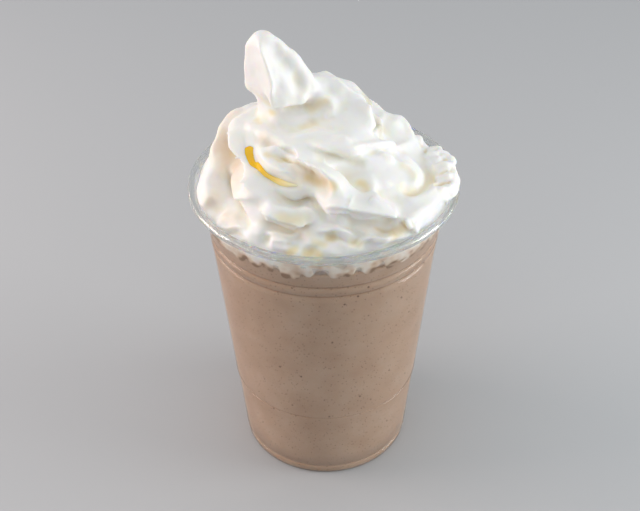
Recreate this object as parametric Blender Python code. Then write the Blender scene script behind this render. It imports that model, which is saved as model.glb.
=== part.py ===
"""A milkshake in a clear plastic cup, heaped with a piped swirl of whipped cream.

Three solids: the thermoformed cup, the drink that fills it, and the cream that stands on the drink.
Sizes are in millimetres and are turned into metres as each mesh is made. The origin is at the middle
of the cup's foot, +Z is up, and -Y is the side from which the swirl is seen.
"""

import math

import bmesh
import bpy
import numpy as np

MM = 0.001

# Cup: a 16 ounce cup, 98 mm across its rolled rim
CUP_HEIGHT = 121.0
RIM_RADIUS = 49.0
BEAD_RADIUS = 1.5
WALL = 0.6
FOOT_RADIUS = 32.8
FOOT_FILLET = 1.5
FOOT_RING_INNER = 28.5
WALL_SLOPE = 0.0925
STEP_HEIGHT = 34.6
STEP_OUT = 0.25
GROOVE_HEIGHTS = (99.4, 103.7)
GROOVE_DEPTH = 0.35
GROOVE_HALF = 0.6
FLARE_START = 105.2
FLARE_TOP_RADIUS = 46.2
UNDERSIDE_RECESS = 3.2
FLOOR_TOP = 4.2
FLOOR_CORNER = 2.0
TURN_STEPS = 60

# Drink: it fills the cup up to just under the cream
GAP = 0.3
DRINK_TOP = 110.7

# Cream: piped folds joined into one body
CREAM_BOTTOM = DRINK_TOP + GAP
CREAM_WALL_GAP = 0.45
VOXEL = 1.0
SMOOTHINGS = 3
CREAM_TRIANGLES = 6400
TEETH_PITCH = 20.0

# First turn of cream, round the inside of the rim
RING_RADIUS = 37.0
RING_HEIGHT = 116.0
RING_HALF_WIDTH = 9.4
RING_HALF_HEIGHT = 8.6

# Peak: x, y, z of the middle of each ring, then the reach of its left, front, right and back crests
PEAK_RINGS = [(-12, 2, 140, 9, 6, 9, 10), (-13, 1, 148, 9, 6, 10, 10), (-13.5, 0.5, 154, 9.5, 6.5, 10.5, 9),
              (-14, 0, 158.5, 12.4, 10.5, 12, 8.5), (-15, -0.5, 164, 11.4, 10.5, 12, 8),
              (-16.5, -1, 170, 9.7, 9, 9.6, 7), (-18.2, -1.8, 175, 7.4, 6.8, 6.8, 4.8),
              (-19.3, -2.2, 178, 4.8, 4.6, 4.8, 3.2), (-19.6, -2.4, 179.6, 2.6, 2.6, 2.8, 2),
              (-19.8, -2.5, 180, 1, 1, 1, 1)]
PEAK_CRESTS_DEG = (180.0, 258.0, 350.0, 95.0)
PEAK_SPREADS_DEG = (30.0, 22.0, 38.0, 40.0)
PEAK_INNER_SHARE = 0.58


def material(name, colour, roughness, alpha=1.0, transmission=0.0):
    """A plain material in the part's own colour."""
    mat = bpy.data.materials.new(name)
    mat.use_nodes = True
    shader = mat.node_tree.nodes["Principled BSDF"]
    shader.inputs["Base Color"].default_value = (*colour, 1.0)
    shader.inputs["Roughness"].default_value = roughness
    shader.inputs["Metallic"].default_value = 0.0
    shader.inputs["Alpha"].default_value = alpha
    shader.inputs["Transmission Weight"].default_value = transmission
    return mat


def add_object(name, vertices, faces, mat):
    """Makes a named object from vertices in millimetres."""
    mesh = bpy.data.meshes.new(name)
    mesh.from_pydata((np.asarray(vertices) * MM).tolist(), [], faces)
    mesh.materials.append(mat)
    obj = bpy.data.objects.new(name, mesh)
    bpy.context.scene.collection.objects.link(obj)
    return obj


def grid_faces(rows, columns):
    """Quads between neighbouring rings of a grid whose columns close on themselves."""
    index = np.arange(rows * columns).reshape(rows, columns)
    after = np.roll(index, -1, axis=1)
    return np.stack([index[:-1], after[:-1], after[1:], index[1:]], axis=-1).reshape(-1, 4)


def end_fans(rows, columns, start, end):
    """Triangles that close the first and last rings of such a grid onto one point each."""
    ring = np.arange(columns)
    after = np.roll(ring, -1)
    last = (rows - 1) * columns
    first_fan = np.stack([np.full(columns, start), after, ring], axis=-1)
    last_fan = np.stack([np.full(columns, end), last + ring, last + after], axis=-1)
    return np.vstack([first_fan, last_fan])


def turned(name, profile, mat):
    """Turns a profile of (radius, height) points about the Z axis; it starts and ends on the axis.

    The profile runs from the underside outwards, up the outside, and back down to the axis.
    """
    inner = np.array(profile[1:-1])
    angle = np.linspace(0.0, 2.0 * math.pi, TURN_STEPS, endpoint=False)
    x = inner[:, :1] * np.cos(angle)
    y = inner[:, :1] * np.sin(angle)
    z = np.broadcast_to(inner[:, 1:], x.shape)
    rings = np.stack([x, y, z], axis=-1).reshape(-1, 3)
    rows = len(inner)
    vertices = np.vstack([rings, (0.0, 0.0, profile[0][1]), (0.0, 0.0, profile[-1][1])])
    faces = grid_faces(rows, TURN_STEPS).tolist()
    faces += end_fans(rows, TURN_STEPS, len(rings), len(rings) + 1).tolist()
    obj = add_object(name, vertices, faces, mat)
    obj.data.shade_smooth()
    obj.data.set_sharp_from_angle(angle=math.radians(40.0))
    return obj


def arc(centre, radius, start_deg, end_deg, steps):
    """Points of a round stretch of a profile."""
    angles = np.radians(np.linspace(start_deg, end_deg, steps + 1))
    return [(centre[0] + radius * math.cos(a), centre[1] + radius * math.sin(a)) for a in angles]


def wall_radius(height):
    """Outer radius of the straight tapering wall, with its small step out above the lower band."""
    radius = FOOT_RADIUS + WALL_SLOPE * height
    return radius + STEP_OUT if height > STEP_HEIGHT else radius


def flare_radius(height):
    """Outer radius of the band under the rim, which flares out to the rolled bead."""
    part = (height - FLARE_START) / (CUP_HEIGHT - 2.0 * BEAD_RADIUS - FLARE_START)
    return wall_radius(FLARE_START) + part * (FLARE_TOP_RADIUS - wall_radius(FLARE_START))


def inner_radius(height):
    """Radius of the cup's inside at a height above its floor."""
    outer = wall_radius(height) if height < FLARE_START else flare_radius(height)
    return outer - WALL


def make_cup():
    """The cup: foot ring, tapering wall with a step and two stacking grooves, flare and rolled rim."""
    bead = (RIM_RADIUS - BEAD_RADIUS, CUP_HEIGHT - BEAD_RADIUS)
    foot_edge = FOOT_RADIUS - FOOT_FILLET
    corner = inner_radius(FLOOR_TOP + FLOOR_CORNER) - FLOOR_CORNER
    profile = [(0.0, UNDERSIDE_RECESS), (FOOT_RING_INNER - 1.0, UNDERSIDE_RECESS), (FOOT_RING_INNER, 0.0)]
    profile += arc((foot_edge, FOOT_FILLET), FOOT_FILLET, -90.0, 0.0, 3)
    profile += [(wall_radius(STEP_HEIGHT - 0.4), STEP_HEIGHT - 0.4)]
    profile += [(wall_radius(STEP_HEIGHT + 0.4), STEP_HEIGHT + 0.4)]
    for height in GROOVE_HEIGHTS:
        profile += [(wall_radius(height - GROOVE_HALF), height - GROOVE_HALF)]
        profile += [(wall_radius(height) - GROOVE_DEPTH, height)]
        profile += [(wall_radius(height + GROOVE_HALF), height + GROOVE_HALF)]
    profile += [(wall_radius(FLARE_START), FLARE_START)]
    profile += [(FLARE_TOP_RADIUS, CUP_HEIGHT - 2.0 * BEAD_RADIUS)]
    profile += arc(bead, BEAD_RADIUS, -60.0, 180.0, 8)
    profile += [(inner_radius(FLARE_START), FLARE_START)]
    profile += [(inner_radius(STEP_HEIGHT + 0.4), STEP_HEIGHT + 0.4)]
    profile += [(inner_radius(STEP_HEIGHT - 0.4), STEP_HEIGHT - 0.4)]
    profile += arc((corner, FLOOR_TOP + FLOOR_CORNER), FLOOR_CORNER, 0.0, -90.0, 3)
    profile += [(0.0, FLOOR_TOP)]
    return turned("cup", profile, material("clear_cup_plastic", (0.9, 0.93, 0.92), 0.08, 0.35, 0.8))


def make_drink():
    """The milkshake: the inside of the cup up to the cream, a small gap clear of the wall and floor."""
    floor = FLOOR_TOP + GAP
    corner = inner_radius(FLOOR_TOP + FLOOR_CORNER) - FLOOR_CORNER
    profile = [(0.0, floor)]
    profile += arc((corner, FLOOR_TOP + FLOOR_CORNER), FLOOR_CORNER - GAP, -90.0, 0.0, 3)
    for height in (STEP_HEIGHT - 0.4, STEP_HEIGHT + 0.4, FLARE_START, DRINK_TOP):
        profile += [(inner_radius(height) - GAP, height)]
    profile += [(0.0, DRINK_TOP)]
    return turned("milkshake", profile, material("milkshake", (0.52, 0.37, 0.27), 0.35))


def smooth_path(points, count):
    """Reads a Catmull-Rom curve through the points at even steps of its own length."""
    p = np.asarray(points, dtype=float)
    extended = np.vstack([2.0 * p[0] - p[1], p, 2.0 * p[-1] - p[-2]])
    spans = len(p) - 1
    t = np.linspace(0.0, spans, spans * 40 + 1)
    i = np.minimum(t.astype(int), spans - 1)
    u = (t - i)[:, None]
    a, b, c, d = (extended[i + k] for k in range(4))
    curve = 0.5 * (2.0 * b + (c - a) * u + (2.0 * a - 5.0 * b + 4.0 * c - d) * u ** 2
                   + (3.0 * b - a - 3.0 * c + d) * u ** 3)
    steps = np.linalg.norm(np.diff(curve[:, :3], axis=0), axis=1)
    run = np.concatenate([[0.0], np.cumsum(steps)])
    even = np.linspace(0.0, run[-1], count)
    return np.stack([np.interp(even, run, curve[:, k]) for k in range(curve.shape[1])], axis=1)


def fold(points, teeth=0, depth=0.0, twist=0.0, phase=0.0, crests="soft", up=(0.0, 0.0, 1.0),
         ends=(1.0, 1.0), along=80, around=48):
    """Carries a toothed oval along a smooth path, as a star nozzle lays down cream.

    Each point is x, y, z, half width and half height. The oval's radius is pulled in by depth between
    teeth, with round teeth for soft crests and sharp ones for keen crests, and the teeth turn by twist
    radians for each TEETH_PITCH of path. Each end is closed by a round cap.
    """
    path = smooth_path(points, along)
    centre = path[:, :3]
    tangent = np.gradient(centre, axis=0)
    tangent /= np.linalg.norm(tangent, axis=1)[:, None]
    side = np.cross(tangent, np.asarray(up))
    side /= np.linalg.norm(side, axis=1)[:, None]
    normal = np.cross(side, tangent)
    length = np.linalg.norm(np.diff(centre, axis=0), axis=1).sum()
    run = np.linspace(0.0, length, along)[:, None]
    angle = np.linspace(0.0, 2.0 * math.pi, around, endpoint=False)[None, :]
    wave = np.abs(np.sin(0.5 * teeth * (angle + phase + twist * run / TEETH_PITCH)))
    oval = 1.0 - depth * (1.0 - wave) if crests == "soft" else 1.0 - depth * wave
    from_start = np.clip(run / (ends[0] * path[0, 3]), 0.0, 1.0)
    from_end = np.clip((length - run) / (ends[1] * path[-1, 3]), 0.0, 1.0)
    cap = np.sqrt(1.0 - (1.0 - from_start) ** 2) * np.sqrt(1.0 - (1.0 - from_end) ** 2)
    oval = oval * np.maximum(cap, 0.02)
    across = (np.cos(angle) * oval * path[:, 3:4])[..., None] * side[:, None, :]
    upward = (np.sin(angle) * oval * path[:, 4:5])[..., None] * normal[:, None, :]
    rings = (centre[:, None, :] + across + upward).reshape(-1, 3)
    vertices = np.vstack([rings, centre[0], centre[-1]])
    faces = grid_faces(along, around).tolist()
    faces += end_fans(along, around, len(rings), len(rings) + 1).tolist()
    return vertices, faces


def rim_ring():
    """The first turn of cream, round the inside of the rim."""
    points = []
    for step in range(14):
        a = math.radians(-160.0 + 30.0 * step)
        height = RING_HEIGHT + math.sin(3.0 * a) - 0.8 * math.sin(a)
        x, y = RING_RADIUS * math.cos(a), RING_RADIUS * math.sin(a)
        points.append((x, y, height, RING_HALF_WIDTH, RING_HALF_HEIGHT))
    return fold(points, teeth=6, depth=0.26, twist=1.8, along=220, around=72)


def peak():
    """The last of the cream, drawn up and to the left as the nozzle was lifted, with four uneven crests.

    On each ring the radius is a common inner one plus, for each crest, what it reaches past that, times e to
    the minus of the angle to the crest over its spread, so every crest is sharp and the faces are hollow.
    """
    rings = smooth_path(PEAK_RINGS, 60)
    angle = np.linspace(0.0, 2.0 * math.pi, 90, endpoint=False)
    reach = rings[:, 3:]
    inner = PEAK_INNER_SHARE * reach.mean(axis=1, keepdims=True)
    radius = np.repeat(inner, len(angle), axis=1)
    for k, (crest, spread) in enumerate(zip(np.radians(PEAK_CRESTS_DEG), np.radians(PEAK_SPREADS_DEG))):
        apart = np.abs((angle - crest + math.pi) % (2.0 * math.pi) - math.pi)
        radius += (reach[:, k:k + 1] - inner) * np.exp(-apart / spread)
    x = rings[:, :1] + radius * np.cos(angle)
    y = rings[:, 1:2] + radius * np.sin(angle)
    z = np.broadcast_to(rings[:, 2:3], x.shape)
    grid = np.stack([x, y, z], axis=-1).reshape(-1, 3)
    vertices = np.vstack([grid, rings[0, :3], rings[-1, :3] + (0.0, 0.0, 0.4)])
    faces = grid_faces(len(rings), len(angle)).tolist()
    faces += end_fans(len(rings), len(angle), len(grid), len(grid) + 1).tolist()
    return vertices, faces


def swirl_folds():
    """The folds of the swirl, from the heap inside it up to the peak."""
    keen = {"crests": "keen"}
    return [
        # the heap that the folds lie on
        fold([(1, 0, 96, 41, 41), (1, 0, 109, 41, 40), (0, -1, 117, 37.5, 36.5), (-3, -2, 126.5, 27, 26),
              (-6, 0, 136, 18.5, 17.5), (-9, 1, 146, 8, 8)], up=(0, 1, 0), ends=(0.3, 1.0)),
        # the lower turn, from the back round the left to the front
        fold([(14, 25, 122, 12, 10), (-4, 27.5, 126.5, 12, 11), (-19, 18.5, 130, 12, 11),
              (-23, 0.5, 130, 12, 11), (-16, -16, 128.5, 10.5, 10.5), (0.5, -23.5, 124.5, 10, 9.5),
              (18, -22, 120, 10, 9)],
             teeth=6, depth=0.15, twist=0.3, along=120),
        # its thin outer edge, which stands clear of the lip with a hollow between them
        fold([(-22, 16.5, 138, 5, 5), (-28.5, 9, 138.5, 5, 5.5), (-33.5, 2, 134.5, 5, 6),
              (-37, -3.5, 127.5, 5, 6), (-40, -11.5, 123, 5, 6), (-37.5, -20, 119, 5, 6)],
             teeth=5, depth=0.14, twist=0.5, **keen),
        # the broad lip that sweeps from the left to the front
        fold([(-19.5, 12, 141, 5, 5), (-25.5, 0.5, 141, 5, 5.5), (-27.5, -11.5, 137.5, 5.5, 7),
              (-24.5, -23, 133.5, 6, 8), (-16.5, -31, 128, 7.5, 9), (-5, -33.5, 123.5, 8, 8.5),
              (7, -31.5, 120, 7, 7)],
             teeth=4, depth=0.2, twist=0.1, phase=0.35, along=100, **keen),
        # the narrow ridge beside the lip
        fold([(-17.5, -4, 143.5, 3, 3), (-19.5, -13.5, 142.5, 3.5, 4), (-17, -22.5, 141.5, 3, 4),
              (-10.5, -29, 138.5, 3, 4), (-2, -32, 135.5, 2.5, 3)], around=24),
        # the right-hand fold: its left edge, its top edge, and the body that both lie on
        fold([(-8, -19, 142, 4, 5), (-1, -28, 138.5, 5.5, 7.5), (7, -32.5, 132, 7, 9),
              (16.5, -32.5, 125.5, 8, 9), (25.5, -26, 122, 8, 8)],
             teeth=4, depth=0.2, twist=0.1, phase=0.5, **keen),
        fold([(-9, -18, 141, 4, 5), (2.5, -16.5, 140.5, 7, 8), (14, -13, 137, 8, 8),
              (23.5, -10.5, 130.5, 8, 8), (32.5, -13, 123, 7, 7)], teeth=5, depth=0.2, twist=-0.4, **keen),
        fold([(6, -18, 134, 9, 7), (16, -17, 130, 12, 9), (26, -13, 125, 12, 10), (34, -8, 120, 9, 8)],
             teeth=4, depth=0.12, twist=0.4),
        # the thin wavy lip along its lower edge
        fold([(0.5, -35.5, 131.5, 3, 2.5), (11, -37.5, 129.5, 5, 3.5), (21.5, -37.5, 125.5, 5.5, 4.5),
              (30, -30, 125.5, 6, 5), (35, -21, 123.5, 6, 6), (38, -11, 122, 6, 6)],
             teeth=4, depth=0.2, twist=0.4, **keen),
        # the lobe at the back right, and the ruffle beside the rim
        fold([(20.5, 9, 132, 5, 5), (25.5, 14.5, 130.5, 6, 7), (30, 8.5, 125.5, 6, 7), (34, 1.5, 121, 6, 7)],
             teeth=5, depth=0.2, twist=0.6, **keen),
        fold([(36.5, 6.5, 123.5, 4, 4), (39.5, 0, 125, 5, 5), (42.5, -5.5, 125.5, 5.5, 5.5),
              (44, -9, 123, 5, 5), (41.5, -16.5, 121, 5, 5)], teeth=8, depth=0.34, twist=1.2, **keen),
        # the turns at the back, lower and upper
        fold([(20, 22, 121, 10, 10), (6, 28, 123, 11, 10), (-10, 28, 126, 12, 11), (-24, 19, 126, 11, 10)],
             teeth=6, depth=0.2, twist=0.4),
        fold([(24, 8, 127.5, 7, 7), (14, 18, 133, 9, 8), (0, 21, 138, 10, 9), (-12, 15, 142, 9, 9),
              (-17, 6, 147, 8, 8)], teeth=5, depth=0.2, twist=0.4, **keen),
        # the upper turn, its soft front, and the fold under the peak
        fold([(16, 1, 132, 8, 8), (12, 4, 141, 8.5, 8.5), (5, 5, 148, 9, 9), (-3, 4, 151, 9, 9),
              (-11, 2, 153, 9, 9)], teeth=5, depth=0.14, twist=0.5, phase=0.5),
        fold([(-0.5, 2.5, 148, 5, 6), (7, -4, 143.5, 6.5, 7.5), (13, -11, 138, 7, 8)]),
        fold([(12, -10, 137, 8, 7), (-2, -11, 140, 10, 8), (-14, -7, 140, 10, 8), (-23, 1, 141, 8, 7)],
             teeth=6, depth=0.2, twist=0.4),
        # the peak's broad foot behind, where the last cream was laid down before the nozzle was lifted
        fold([(-10, 9, 140, 9, 9), (-12, 7, 149, 9, 9), (-14, 4, 158, 8, 8), (-16, 1, 165, 5, 6)],
             up=(0, 1, 0)),
    ]


def evaluated(obj):
    """Puts an object's modifiers into its mesh."""
    graph = bpy.context.evaluated_depsgraph_get()
    mesh = bpy.data.meshes.new_from_object(obj.evaluated_get(graph))
    obj.modifiers.clear()
    obj.data = mesh


def keep_inside_cup(mesh):
    """Pulls in any vertex that stands nearer to the cup's wall or rim than the gap."""
    count = len(mesh.vertices)
    place = np.empty(count * 3)
    mesh.vertices.foreach_get("co", place)
    place = place.reshape(-1, 3)
    top = CUP_HEIGHT - 2.0 * BEAD_RADIUS
    heights = np.array([CREAM_BOTTOM, top, 2.0 * CUP_HEIGHT]) * MM
    limits = np.array([inner_radius(CREAM_BOTTOM), inner_radius(top), inner_radius(top)]) - CREAM_WALL_GAP
    limit = np.interp(place[:, 2], heights, limits * MM)
    radius = np.hypot(place[:, 0], place[:, 1])
    place[:, :2] *= np.minimum(1.0, limit / np.maximum(radius, MM))[:, None]
    place[:, 2] = np.maximum(place[:, 2], CREAM_BOTTOM * MM)
    mesh.vertices.foreach_set("co", place.ravel())
    mesh.update()


def largest_body(bm):
    """Keeps the outer body, so that pockets sealed in between folds are filled and scraps dropped."""
    left = set(bm.verts)
    bodies = []
    while left:
        body, front = set(), [next(iter(left))]
        while front:
            vertex = front.pop()
            if vertex in body:
                continue
            body.add(vertex)
            front += [edge.other_vert(vertex) for edge in vertex.link_edges]
        bodies.append(body)
        left -= body
    bodies.sort(key=len)
    for body in bodies[:-1]:
        bmesh.ops.delete(bm, geom=list(body), context="VERTS")


def cut_flat(mesh, height):
    """Cuts away what is below a height, closes the cut with one flat face, and keeps one body."""
    bm = bmesh.new()
    bm.from_mesh(mesh)
    largest_body(bm)
    geometry = bm.verts[:] + bm.edges[:] + bm.faces[:]
    cut = bmesh.ops.bisect_plane(bm, geom=geometry, plane_co=(0, 0, height * MM), plane_no=(0, 0, 1),
                                 clear_inner=True)
    edges = [e for e in cut["geom_cut"] if isinstance(e, bmesh.types.BMEdge)]
    bmesh.ops.edgeloop_fill(bm, edges=edges)
    bmesh.ops.triangulate(bm, faces=bm.faces[:])
    bmesh.ops.recalc_face_normals(bm, faces=bm.faces[:])
    bm.to_mesh(mesh)
    bm.free()


def make_cream():
    """The whipped cream: all folds joined by a voxel remesh, cut flat below, and thinned out."""
    vertices, faces, base = [], [], 0
    for piece_vertices, piece_faces in [rim_ring(), peak()] + swirl_folds():
        vertices.append(piece_vertices)
        faces += [[base + i for i in face] for face in piece_faces]
        base += len(piece_vertices)
    mat = material("whipped_cream", (0.93, 0.9, 0.84), 0.5)
    obj = add_object("whipped_cream", np.vstack(vertices), faces, mat)
    remesh = obj.modifiers.new("Join", "REMESH")
    remesh.mode = "VOXEL"
    remesh.voxel_size = VOXEL * MM
    smooth = obj.modifiers.new("Soften", "SMOOTH")
    smooth.iterations = SMOOTHINGS
    evaluated(obj)
    keep_inside_cup(obj.data)
    cut_flat(obj.data, CREAM_BOTTOM + 0.05)
    thin = obj.modifiers.new("Thin", "DECIMATE")
    thin.ratio = CREAM_TRIANGLES / len(obj.data.polygons)
    thin.use_collapse_triangulate = True
    evaluated(obj)
    keep_inside_cup(obj.data)
    obj.data.shade_smooth()
    return obj


for old in list(bpy.data.objects):
    bpy.data.objects.remove(old)
make_cup()
make_drink()
make_cream()
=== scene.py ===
import math

import bpy
import numpy as np
from mathutils import Matrix, Vector


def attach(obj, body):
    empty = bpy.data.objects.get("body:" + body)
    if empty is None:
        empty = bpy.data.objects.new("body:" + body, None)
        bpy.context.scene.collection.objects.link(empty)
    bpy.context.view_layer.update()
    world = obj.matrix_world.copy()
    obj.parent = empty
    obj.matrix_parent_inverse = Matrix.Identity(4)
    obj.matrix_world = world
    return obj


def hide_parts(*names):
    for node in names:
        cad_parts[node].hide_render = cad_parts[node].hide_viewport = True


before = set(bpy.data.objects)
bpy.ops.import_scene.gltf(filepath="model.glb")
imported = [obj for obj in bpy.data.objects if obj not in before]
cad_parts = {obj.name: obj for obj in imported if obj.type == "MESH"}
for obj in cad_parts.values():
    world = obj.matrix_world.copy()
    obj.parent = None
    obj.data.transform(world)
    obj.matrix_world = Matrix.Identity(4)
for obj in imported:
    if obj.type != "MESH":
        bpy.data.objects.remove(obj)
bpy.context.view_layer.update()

# The cup. A clear cold-drink cup, thermoformed from one PET sheet: a foot ring round a raised floor, a
# tapering wall with one small step and two stacking grooves, a flared collar and a rolled rim.
# It stands free on its foot, and carries the drink and the cream.

MM = 0.001
CUP_HEIGHT = 121.0
RIM_RADIUS = 49.0
BEAD_RADIUS = 1.5
WALL = 0.6
# the sheet is thinner in the rolled rim, and the roll ends this far past its outermost point
ROLL_SHEET = 0.45
ROLL_END_DEG = 128.0
FOOT_RADIUS = 32.8
FOOT_FILLET = 1.5
FOOT_RING_INNER = 28.5
UNDERSIDE_RECESS = 3.2
FLOOR_TOP = UNDERSIDE_RECESS + WALL
FOOT_CENTRE = (FOOT_RADIUS - FOOT_FILLET, FOOT_FILLET)
RISER_CENTRE = (FOOT_RING_INNER - 1.6, UNDERSIDE_RECESS - 0.8)
WALL_SLOPE = 0.0925
STEP_HEIGHT = 34.6
STEP_OUT = 0.25
STEP_BLEND = 0.5
STEP_LINE_DEPTH = 0.4
FOOT_LINE_HEIGHT = 4.2
FINE_LINE_HEIGHTS = (FOOT_LINE_HEIGHT, STEP_HEIGHT - 0.3)
GROOVE_HEIGHTS = (99.4, 103.7)
GROOVE_DEPTH = 0.6
GROOVE_HALF = 0.55
FLARE_START = 105.2
FLARE_TOP_RADIUS = 46.2
COLLAR_TOP = CUP_HEIGHT - 2.0 * BEAD_RADIUS
COLLAR_HEIGHTS = np.linspace(FLARE_START + 1.0, COLLAR_TOP, 8)
TURN_STEPS = 192
PET_CLEAR = "#f3f7f5"
PET_IOR = 1.575
PET_ROUGHNESS = 0.035
# how much of the wall's and the rim's look comes from the plastic itself and not from what lies behind it
PET_WALL_ALPHA = 0.34
PET_RIM_ALPHA = 0.5
# the sheet thins unevenly as it is drawn down, in bands a few centimetres long
SHEET_WAVE_MM = 28.0
SHEET_WAVE_BUMP = 0.06


def linear(hex_colour):
    """Turns an sRGB hex value into linear red, green, blue and full alpha."""
    parts = [int(hex_colour[i:i + 2], 16) / 255.0 for i in (1, 3, 5)]
    return (*[c / 12.92 if c <= 0.04045 else ((c + 0.055) / 1.055) ** 2.4 for c in parts], 1.0)


def add_node(tree, kind, settings=None, links=None):
    """Adds one node, sets its properties and unlinked inputs, and links inputs to other nodes' outputs."""
    node = tree.nodes.new("ShaderNode" + kind)
    for key, value in (settings or {}).items():
        if isinstance(key, str) and hasattr(node, key):
            setattr(node, key, value)
        else:
            node.inputs[key].default_value = value
    for key, (source, output) in (links or {}).items():
        tree.links.new(source.outputs[output], node.inputs[key])
    return node


def new_material(name):
    """A material holding only its output node; returns the material and its node tree."""
    mat = bpy.data.materials.new(name)
    mat.use_nodes = True
    mat.node_tree.nodes.clear()
    return mat, mat.node_tree


def tinted(tree, before, amount, colour):
    """Mixes a colour towards one hex colour by an amount; before and amount are each (node, output)."""
    return add_node(tree, "Mix", {"data_type": "RGBA", 7: linear(colour)}, {0: amount, 6: before}), 2


def set_ramp(node, stops):
    """Gives a colour ramp its stops, each a place and an sRGB hex colour."""
    elements = node.color_ramp.elements
    while len(elements) < len(stops):
        elements.new(0.5)
    for element, (place, colour) in zip(elements, stops):
        element.position = place
        element.color = linear(colour)


def end_material(tree, settings, links=None):
    """Gives a material one Principled shader with these settings, joined to its output."""
    shader = add_node(tree, "BsdfPrincipled", settings, links)
    add_node(tree, "OutputMaterial", links={"Surface": (shader, 0)})


def unit(vectors):
    """Vectors divided by their lengths."""
    return vectors / np.linalg.norm(vectors, axis=-1, keepdims=True)


def smooth_noise(points, pitch, seed):
    """Random heights from -1 to 1 on a cubic lattice of the given pitch, blended smoothly in between."""
    table = np.random.default_rng(seed).uniform(-1.0, 1.0, (32, 32, 32))
    cell = points / pitch
    low = np.floor(cell).astype(int)
    part = cell - low
    part = part * part * (3.0 - 2.0 * part)
    total = np.zeros(len(points))
    for corner in range(8):
        offset = np.array([(corner >> k) & 1 for k in range(3)])
        weight = np.prod(np.where(offset, part, 1.0 - part), axis=1)
        index = (low + offset) % 32
        total += weight * table[index[:, 0], index[:, 1], index[:, 2]]
    return total


def mesh_piece(name, vertices, faces, mat):
    """Puts vertices in millimetres and faces into a smooth-shaded object at the origin."""
    mesh = bpy.data.meshes.new(name)
    mesh.from_pydata((np.asarray(vertices) * MM).tolist(), [], faces)
    mesh.materials.append(mat)
    mesh.shade_smooth()
    obj = bpy.data.objects.new(name, mesh)
    bpy.context.scene.collection.objects.link(obj)
    return obj


def grid_faces(rows, columns):
    """Quads between neighbouring rings of a grid whose columns close on themselves."""
    index = np.arange(rows * columns).reshape(rows, columns)
    after = np.roll(index, -1, axis=1)
    return np.stack([index[:-1], after[:-1], after[1:], index[1:]], axis=-1).reshape(-1, 4)


def end_fans(rows, columns, start, end):
    """Triangles that close the first and last rings of such a grid onto one point each."""
    ring = np.arange(columns)
    after = np.roll(ring, -1)
    last = (rows - 1) * columns
    first_fan = np.stack([np.full(columns, start), after, ring], axis=-1)
    last_fan = np.stack([np.full(columns, end), last + ring, last + after], axis=-1)
    return np.vstack([first_fan, last_fan])


def turned(name, profile, mat, uneven=None):
    """A profile of (radius, height) turned about Z, its first and last points on the axis.

    Place = (radius cos a, radius sin a, height), for each profile point and each turn angle a. A function
    uneven may move the rings' points afterwards.
    """
    inner = np.array(profile[1:-1])
    angle = np.linspace(0.0, 2.0 * math.pi, TURN_STEPS, endpoint=False)
    x = inner[:, :1] * np.cos(angle)
    y = inner[:, :1] * np.sin(angle)
    z = np.broadcast_to(inner[:, 1:], x.shape)
    rings = np.stack([x, y, z], axis=-1).reshape(-1, 3)
    if uneven is not None:
        rings = uneven(rings)
    vertices = np.vstack([rings, (0.0, 0.0, profile[0][1]), (0.0, 0.0, profile[-1][1])])
    faces = grid_faces(len(inner), TURN_STEPS).tolist()
    faces += end_fans(len(inner), TURN_STEPS, len(rings), len(rings) + 1).tolist()
    return mesh_piece(name, vertices, faces, mat)


def arc(centre, radius, start_deg, end_deg, steps):
    """Points of a round stretch of a profile: centre plus radius times (cos, sin) of evenly spaced angles."""
    angles = np.radians(np.linspace(start_deg, end_deg, steps + 1))
    return [(centre[0] + radius * math.cos(a), centre[1] + radius * math.sin(a)) for a in angles]


def dip(height, places):
    """Sum over the places of a parabola that is 1 there and 0 from GROOVE_HALF away."""
    return sum(max(1.0 - ((height - place) / GROOVE_HALF) ** 2, 0.0) for place in places)


def wall_radius(height):
    """Outer radius of the wall: a taper and one blended step, less two grooves and two fine lines."""
    step = STEP_OUT * min(max((height - STEP_HEIGHT) / STEP_BLEND + 0.5, 0.0), 1.0)
    grooves = GROOVE_DEPTH * dip(height, GROOVE_HEIGHTS)
    lines = STEP_LINE_DEPTH * dip(height, FINE_LINE_HEIGHTS)
    return FOOT_RADIUS + WALL_SLOPE * height + step - grooves - lines


def collar_radius(height):
    """Outer radius of the collar, which flares from the wall to just under the rolled rim."""
    start = wall_radius(FLARE_START)
    return start + (height - FLARE_START) / (COLLAR_TOP - FLARE_START) * (FLARE_TOP_RADIUS - start)


def inner_radius(height):
    """Radius of the cup's inside, one wall in from its outside."""
    return (wall_radius(height) if height < FLARE_START else collar_radius(height)) - WALL


wall_heights = sorted(
    set(np.linspace(3.0, FLARE_START, 12).round(1))
    | set((STEP_HEIGHT + np.linspace(-1.0, 0.5, 11)).round(2))
    | set((FOOT_LINE_HEIGHT + np.linspace(-1.0, 1.0, 9) * GROOVE_HALF).round(2))
    | {round(g + k * GROOVE_HALF / 4.0, 2) for g in GROOVE_HEIGHTS for k in range(-4, 5)})
bead_centre = (RIM_RADIUS - BEAD_RADIUS, CUP_HEIGHT - BEAD_RADIUS)
cup_profile = [(0.0, UNDERSIDE_RECESS)]
cup_profile += [(FOOT_RING_INNER * 0.55, UNDERSIDE_RECESS)]
cup_profile += arc(RISER_CENTRE, 0.8, 90.0, 20.0, 4)
cup_profile += arc((FOOT_RING_INNER + 0.4, 0.4), 0.4, 200.0, 270.0, 3)
cup_profile += arc(FOOT_CENTRE, FOOT_FILLET, -90.0, 0.0, 8)
cup_profile += [(wall_radius(h), h) for h in wall_heights]
cup_profile += [(collar_radius(h), h) for h in COLLAR_HEIGHTS]
cup_profile += arc(bead_centre, BEAD_RADIUS - ROLL_SHEET, 178.0, -ROLL_END_DEG, 28)
cup_profile += arc(bead_centre, BEAD_RADIUS, -ROLL_END_DEG, 180.0, 34)
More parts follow.
